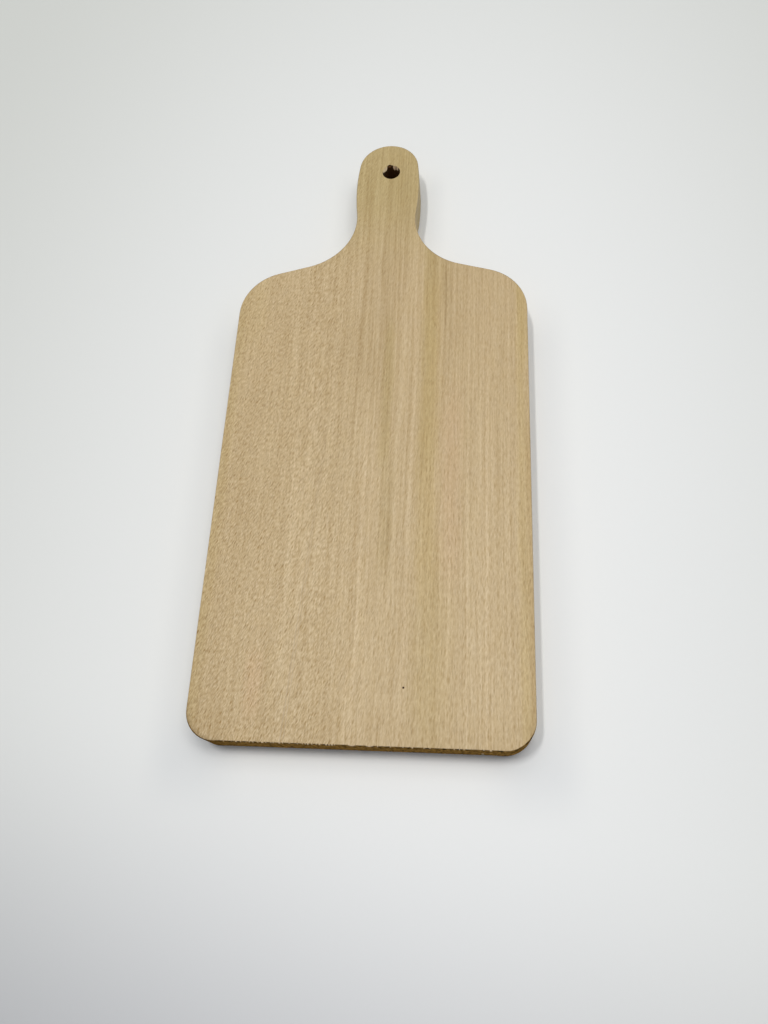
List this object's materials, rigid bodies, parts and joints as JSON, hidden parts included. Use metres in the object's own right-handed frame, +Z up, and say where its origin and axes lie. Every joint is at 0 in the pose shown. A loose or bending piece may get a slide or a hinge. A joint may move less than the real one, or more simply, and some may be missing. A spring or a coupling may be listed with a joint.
{
  "type": "wooden bread board",
  "caption": "Paddle-shaped wooden bread and cutting board: a flat plank with rounded shoulders and a short waisted handle, drilled through to hang it by.",
  "frame": {"origin": "on the underside, midway along the board's whole length and on the centre line of its width", "axes": "+Z up out of the cutting face, +Y along the grain from the front edge to the handle's end, +X to the right"},
  "size_m": [0.16, 0.354, 0.018],
  "materials": {
    "beech": "sanded beech, matt, with a dark sawn front end and drilled hole"
  },
  "bodies": {
    "root": {"board": "beech"}
  },
  "joints": []
}
